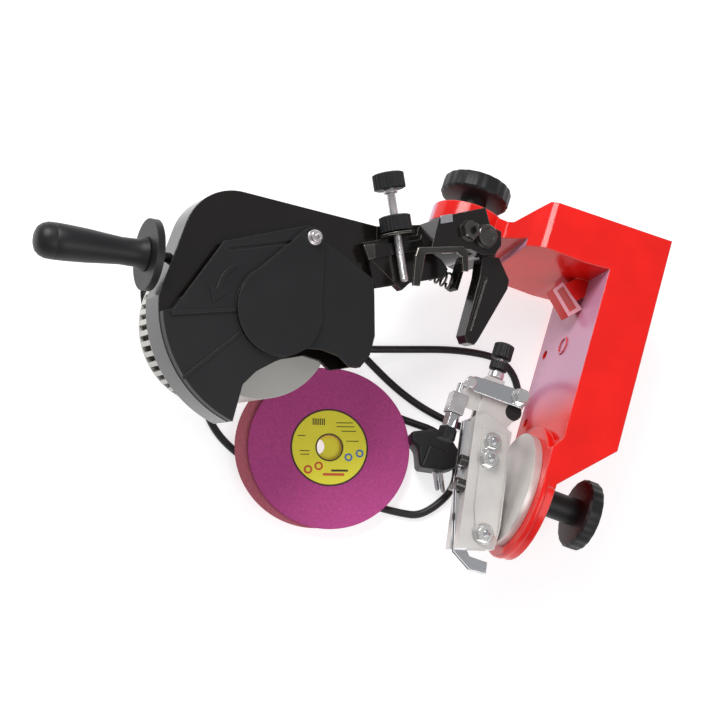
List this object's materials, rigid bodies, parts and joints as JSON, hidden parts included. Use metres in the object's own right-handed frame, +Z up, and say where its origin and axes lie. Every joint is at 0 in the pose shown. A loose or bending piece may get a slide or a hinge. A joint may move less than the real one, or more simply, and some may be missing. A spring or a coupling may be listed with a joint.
{
  "type": "saw chain sharpener",
  "caption": "Electric bench grinder for sharpening saw chains, lying on its side: red cast bracket, swinging motor head with wheel guard, chain vise, loose grinding wheels and mains lead.",
  "frame": {"origin": "on the surface below the middle of the machine without its lead", "axes": "+X from the handle towards the bench bracket, +Y towards the machine's rear, +Z up from the surface it lies on"},
  "size_m": [0.5064, 0.3375, 0.2235],
  "materials": {
    "red_paint": "glossy red enamel",
    "black_casting": "glossy black enamel",
    "black_plastic": "fine-grained matt black",
    "motor_paint": "light grey enamel",
    "machined_alu": "satin machined",
    "zinc": "bright zinc plate",
    "chrome": "polished",
    "dark_steel": "burnished dark steel",
    "steel": "bare ground steel",
    "laminations": "stacked core plates with windings",
    "wheel_magenta": "bonded abrasive grain, magenta",
    "wheel_pink": "bonded abrasive grain, pink",
    "label_yellow": "yellow blotter disc",
    "cord_rubber": "black cord sheath"
  },
  "bodies": {
    "base": {"base_casting": "red_paint", "tilt_washer": "zinc", "vise_washer": "zinc", "cord_lead": "cord_rubber", "cord_tail": "cord_rubber", "cord_coil": "cord_rubber", "plug_body": "cord_rubber", "plug_pins": "chrome"},
    "tilt_bracket": {"tilt_bracket": "black_casting", "front_post": "black_casting", "pivot_bolt": "dark_steel", "pivot_nut": "zinc", "return_spring": "dark_steel"},
    "tilt_knob": {"tilt_knob": "black_plastic"},
    "head": {"swing_arm": "black_casting", "stop_bracket": "dark_steel", "arm_screw": "dark_steel", "wheel_guard": "black_casting", "motor_housing": "motor_paint", "motor_end_cap": "motor_paint", "front_bearing": "steel", "rear_bearing": "steel", "stator": "laminations", "start_capacitor": "black_plastic", "switch_box": "black_plastic", "cable_gland": "black_plastic", "handle_flange": "black_plastic", "handle_grip": "black_plastic", "depth_holder": "dark_steel"},
    "rotor": {"rotor_core": "laminations", "motor_shaft": "steel", "cooling_fan": "black_plastic", "inner_flange": "steel"},
    "wheel_clamp": {"outer_flange": "steel", "spindle_nut": "zinc"},
    "guard_cover": {"guard_cover": "black_plastic", "cover_bolt": "zinc"},
    "depth_screw": {"depth_screw": "zinc"},
    "depth_lock_nut": {"depth_lock_nut": "black_plastic"},
    "turntable": {"turntable": "machined_alu"},
    "vise_knob": {"vise_knob": "black_plastic"},
    "vise": {"vise_body": "machined_alu", "side_plate": "machined_alu", "side_bolt": "zinc", "side_nut": "zinc", "vise_hinge_pin": "zinc", "clamp_nuts": "dark_steel", "fixed_jaw": "chrome", "link_bolt": "dark_steel"},
    "moving_jaw": {"moving_jaw": "chrome"},
    "jaw_screw": {"jaw_screw": "dark_steel"},
    "stop_screw": {"stop_screw": "zinc"},
    "stop_lock_nut": {"stop_lock_nut": "black_plastic"},
    "stop_arm": {"stop_link": "zinc", "stop_rod": "chrome", "rod_clamp": "zinc"},
    "switch_rocker": {"switch_rocker": "black_plastic"},
    "spare_wheels": {"thick_wheel": "wheel_pink", "thin_wheel": "wheel_magenta", "thin_wheel_label": "label_yellow"}
  },
  "joints": [
    {"name": "head_tilt", "type": "hinge", "parent": "base", "child": "tilt_bracket", "pos_m": [0.06876, 0.10275, 0.07903], "axis": [0, 1, 0], "range_deg": [0, 14.5], "deforming": ["cord_lead", "cord_tail", "cord_coil", "plug_body", "plug_pins"]},
    {"name": "head_swing", "type": "hinge", "parent": "tilt_bracket", "child": "head", "pos_m": [0.06647, 0.10275, 0.08201], "axis": [0.3827, 0, 0.9239], "range_deg": [0, 31], "deforming": ["cord_lead", "cord_tail", "cord_coil", "plug_body", "plug_pins", "return_spring"]},
    {"name": "spindle_spin", "type": "hinge", "parent": "head", "child": "rotor", "pos_m": [-0.07027, -0.03025, 0.13865], "axis": [0.3827, 0, 0.9239], "continuous": true},
    {"name": "wheel_clamp_off", "type": "slide", "parent": "rotor", "child": "wheel_clamp", "axis": [0.3827, 0, 0.9239], "range_m": [0, 0.03]},
    {"name": "cover_off", "type": "slide", "parent": "head", "child": "guard_cover", "axis": [0.3827, 0, 0.9239], "range_m": [0, 0.06]},
    {"name": "depth_set", "type": "slide", "parent": "head", "child": "depth_screw", "axis": [-0.4666, 0.8631, 0.1933], "range_m": [-0.003, 0.012]},
    {"name": "depth_nut_turn", "type": "hinge", "parent": "depth_screw", "child": "depth_lock_nut", "pos_m": [0.02837, 0.03825, 0.12593], "axis": [-0.4666, 0.8631, 0.1933], "continuous": true},
    {"name": "tilt_knob_turn", "type": "hinge", "parent": "tilt_bracket", "child": "tilt_knob", "pos_m": [0.06876, 0.10275, 0.07903], "axis": [0, 1, 0], "continuous": true},
    {"name": "table_turn", "type": "hinge", "parent": "base", "child": "turntable", "pos_m": [0.17992, -0.08725, 0.06538], "axis": [0.9925, 0, -0.1219], "range_deg": [-35, 35]},
    {"name": "vise_knob_turn", "type": "hinge", "parent": "turntable", "child": "vise_knob", "pos_m": [0.19382, -0.08725, 0.06368], "axis": [0.9925, 0, -0.1219], "continuous": true},
    {"name": "vise_dip", "type": "hinge", "parent": "turntable", "child": "vise", "pos_m": [0.15709, -0.13525, 0.06819], "axis": [0.1219, 0, 0.9925], "range_deg": [-6.5, 0]},
    {"name": "jaw_screw_turn", "type": "hinge", "parent": "vise", "child": "jaw_screw", "pos_m": [0.14915, -0.09725, 0.06916], "axis": [0.1219, 0, 0.9925], "range_deg": [0, 643]},
    {"name": "jaw_close", "type": "slide", "parent": "vise", "child": "moving_jaw", "axis": [0.1219, 0, 0.9925], "range_m": [0, 0.0028]},
    {"name": "stop_set", "type": "slide", "parent": "vise", "child": "stop_screw", "axis": [0, -1, 0], "range_m": [-0.01, 0.001]},
    {"name": "stop_nut_turn", "type": "hinge", "parent": "stop_screw", "child": "stop_lock_nut", "pos_m": [0.13427, 0.01275, 0.07099], "axis": [0, 1, 0], "continuous": true},
    {"name": "stop_arm_swing", "type": "hinge", "parent": "vise", "child": "stop_arm", "pos_m": [0.1561, -0.01125, 0.06831], "axis": [0.1219, 0, 0.9925], "range_deg": [-25, 0]},
    {"name": "switch_rock", "type": "hinge", "parent": "head", "child": "switch_rocker", "pos_m": [-0.09706, 0.04775, 0.14974], "axis": [0.3827, 0, 0.9239], "range_deg": [0, 12]},
    {"name": "wheels_aside", "type": "slide", "parent": "base", "child": "spare_wheels", "axis": [0, -1, 0], "range_m": [0, 0.37]}
  ],
  "couplings": [
    {"joint": "jaw_screw_turn", "follows": "jaw_close", "rad_per_m": 4000},
    {"joint": "wheel_clamp_off", "follows": "cover_off", "ratio": 0.5},
    {"joint": "wheels_aside", "follows": "head_swing", "m_per_rad": 0.67}
  ]
}
